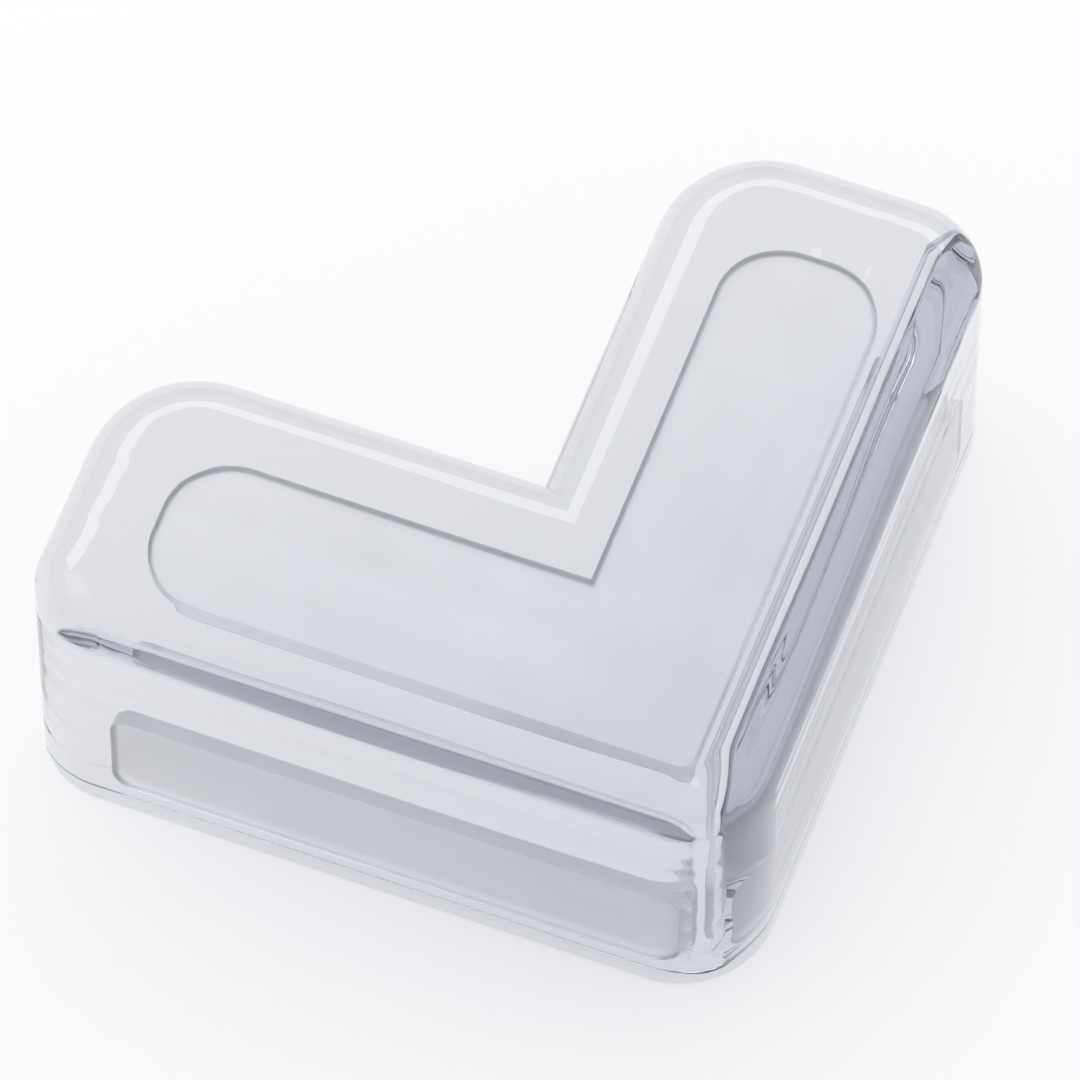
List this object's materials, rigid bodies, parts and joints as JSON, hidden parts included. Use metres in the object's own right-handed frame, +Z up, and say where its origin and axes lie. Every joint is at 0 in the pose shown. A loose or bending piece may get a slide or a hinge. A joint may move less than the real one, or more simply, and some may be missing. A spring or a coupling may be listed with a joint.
{
  "type": "furniture corner protector",
  "caption": "Clear soft plastic L-shaped guard for a table corner: a flat plate with rounded edges, a skirt down each outer side, and a clear adhesive pad under the plate and along each skirt.",
  "frame": {"origin": "centre of the footprint, on the surface that the skirts stand on", "axes": "+Z up through the plate; the arms run along +X and +Y from the outer corner at low X and low Y"},
  "size_m": [0.05, 0.05, 0.023],
  "materials": {
    "clear_plastic": "glossy, clear, with a faint blue-violet tint in its thick parts",
    "clear_adhesive": "clear, soft and tacky, with a slight sheen"
  },
  "bodies": {
    "root": {"corner_guard": "clear_plastic", "plate_adhesive_pad": "clear_adhesive", "skirt_adhesive_strip_x": "clear_adhesive", "skirt_adhesive_strip_y": "clear_adhesive"}
  },
  "joints": []
}
